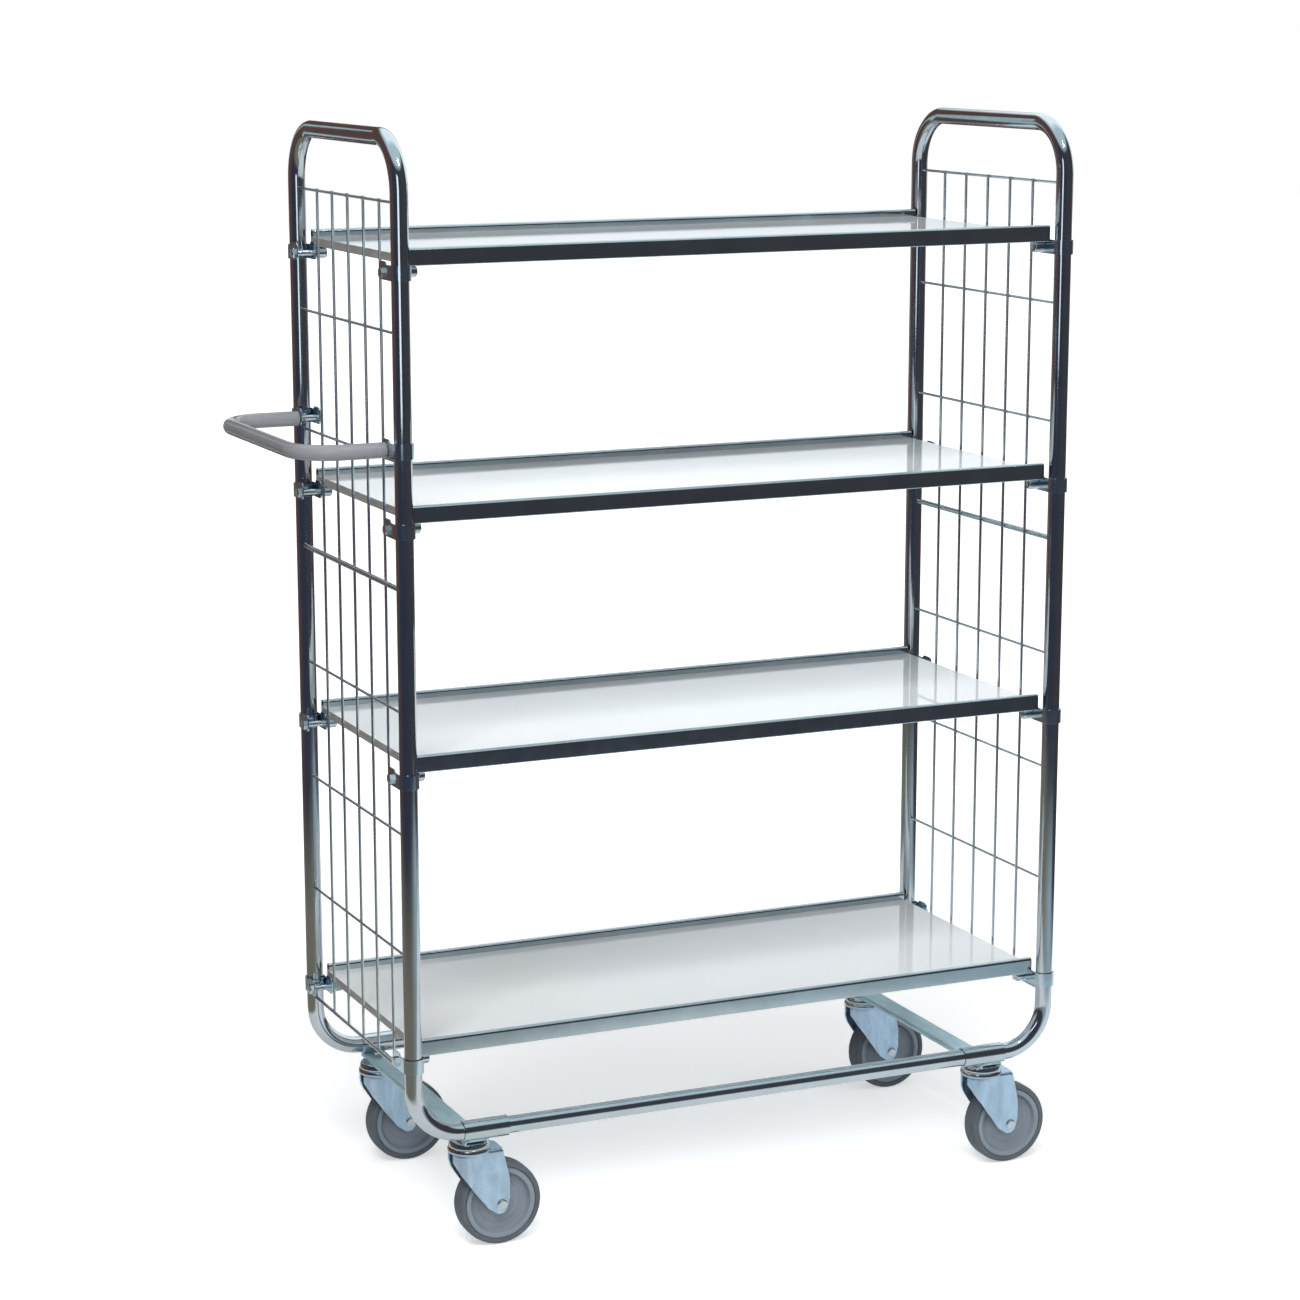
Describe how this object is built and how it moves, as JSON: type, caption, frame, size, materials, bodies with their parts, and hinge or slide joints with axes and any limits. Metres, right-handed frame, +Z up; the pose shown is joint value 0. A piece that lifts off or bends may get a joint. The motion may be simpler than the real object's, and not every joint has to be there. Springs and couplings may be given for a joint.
{
  "type": "shelf trolley",
  "caption": "Tall shelf trolley: bent tube end frames with wire grids, white laminated shelves on clamp pins, a grey U-shaped push handle and swivel casters.",
  "frame": {"origin": "on the floor, under the centre of the bounding box", "axes": "+Z up; X along the shelves' length with the push handle at -X; Y across the width"},
  "size_m": [1.189, 0.4622, 1.59],
  "materials": {
    "hoop_tube": "bright zinc plate, slightly blue",
    "base_tube": "bright zinc plate, slightly blue",
    "grid_wire": "bright zinc plated wire",
    "rail_sheet": "bright zinc plated sheet",
    "base_channel": "matte zinc plate",
    "clamp_steel": "satin zinc plate",
    "head_steel": "bright zinc plate",
    "fork_steel": "matte bluish zinc plate, slightly mottled",
    "axle_steel": "bright zinc plate",
    "board_laminate": "glossy white laminate on chipboard",
    "handle_coating": "satin grey powder coat",
    "rim_plastic": "grey moulded plastic",
    "tyre_rubber": "grey rubber"
  },
  "bodies": {
    "chassis": {"end_hoop_left": "hoop_tube", "cross_channel_left": "base_channel", "wire_grid_left": "grid_wire", "end_hoop_right": "hoop_tube", "cross_channel_right": "base_channel", "wire_grid_right": "grid_wire", "base_rail_front": "base_tube", "handle_clamp_front": "clamp_steel", "base_rail_back": "base_tube", "handle_clamp_back": "clamp_steel", "shelf_board_1": "board_laminate", "shelf_rail_front_1": "rail_sheet", "shelf_clamp_front_left_1": "clamp_steel", "shelf_clamp_front_right_1": "clamp_steel", "shelf_rail_back_1": "rail_sheet", "shelf_clamp_back_left_1": "clamp_steel", "shelf_clamp_back_right_1": "clamp_steel", "shelf_board_2": "board_laminate", "shelf_rail_front_2": "rail_sheet", "shelf_clamp_front_left_2": "clamp_steel", "shelf_clamp_front_right_2": "clamp_steel", "shelf_rail_back_2": "rail_sheet", "shelf_clamp_back_left_2": "clamp_steel", "shelf_clamp_back_right_2": "clamp_steel", "shelf_board_3": "board_laminate", "shelf_rail_front_3": "rail_sheet", "shelf_clamp_front_left_3": "clamp_steel", "shelf_clamp_front_right_3": "clamp_steel", "shelf_rail_back_3": "rail_sheet", "shelf_clamp_back_left_3": "clamp_steel", "shelf_clamp_back_right_3": "clamp_steel", "shelf_board_4": "board_laminate", "shelf_rail_front_4": "rail_sheet", "shelf_clamp_front_left_4": "clamp_steel", "shelf_clamp_front_right_4": "clamp_steel", "shelf_rail_back_4": "rail_sheet", "shelf_clamp_back_left_4": "clamp_steel", "shelf_clamp_back_right_4": "clamp_steel", "handle_bar": "handle_coating", "caster_head_front_left": "head_steel", "caster_head_front_right": "head_steel", "caster_head_back_left": "head_steel", "caster_head_back_right": "head_steel"},
    "caster_fork_front_left": {"fork_front_left": "fork_steel", "axle_bolt_front_left": "axle_steel"},
    "wheel_front_left": {"wheel_rim_front_left": "rim_plastic", "tyre_front_left": "tyre_rubber"},
    "caster_fork_front_right": {"fork_front_right": "fork_steel", "axle_bolt_front_right": "axle_steel"},
    "wheel_front_right": {"wheel_rim_front_right": "rim_plastic", "tyre_front_right": "tyre_rubber"},
    "caster_fork_back_left": {"fork_back_left": "fork_steel", "axle_bolt_back_left": "axle_steel"},
    "wheel_back_left": {"wheel_rim_back_left": "rim_plastic", "tyre_back_left": "tyre_rubber"},
    "caster_fork_back_right": {"fork_back_right": "fork_steel", "axle_bolt_back_right": "axle_steel"},
    "wheel_back_right": {"wheel_rim_back_right": "rim_plastic", "tyre_back_right": "tyre_rubber"}
  },
  "joints": [
    {"name": "swivel_front_left", "type": "hinge", "parent": "chassis", "child": "caster_fork_front_left", "pos_m": [-0.35803, -0.191, 0.1495], "axis": [0, 0, 1], "continuous": true},
    {"name": "wheel_spin_front_left", "type": "hinge", "parent": "caster_fork_front_left", "child": "wheel_front_left", "pos_m": [-0.31553, -0.191, 0.0625], "axis": [0, 1, 0], "continuous": true},
    {"name": "swivel_front_right", "type": "hinge", "parent": "chassis", "child": "caster_fork_front_right", "pos_m": [0.48297, -0.191, 0.1495], "axis": [0, 0, 1], "continuous": true},
    {"name": "wheel_spin_front_right", "type": "hinge", "parent": "caster_fork_front_right", "child": "wheel_front_right", "pos_m": [0.52547, -0.191, 0.0625], "axis": [0, 1, 0], "continuous": true},
    {"name": "swivel_back_left", "type": "hinge", "parent": "chassis", "child": "caster_fork_back_left", "pos_m": [-0.35803, 0.191, 0.1495], "axis": [0, 0, 1], "continuous": true},
    {"name": "wheel_spin_back_left", "type": "hinge", "parent": "caster_fork_back_left", "child": "wheel_back_left", "pos_m": [-0.31553, 0.191, 0.0625], "axis": [0, 1, 0], "continuous": true},
    {"name": "swivel_back_right", "type": "hinge", "parent": "chassis", "child": "caster_fork_back_right", "pos_m": [0.48297, 0.191, 0.1495], "axis": [0, 0, 1], "continuous": true},
    {"name": "wheel_spin_back_right", "type": "hinge", "parent": "caster_fork_back_right", "child": "wheel_back_right", "pos_m": [0.52547, 0.191, 0.0625], "axis": [0, 1, 0], "continuous": true}
  ]
}
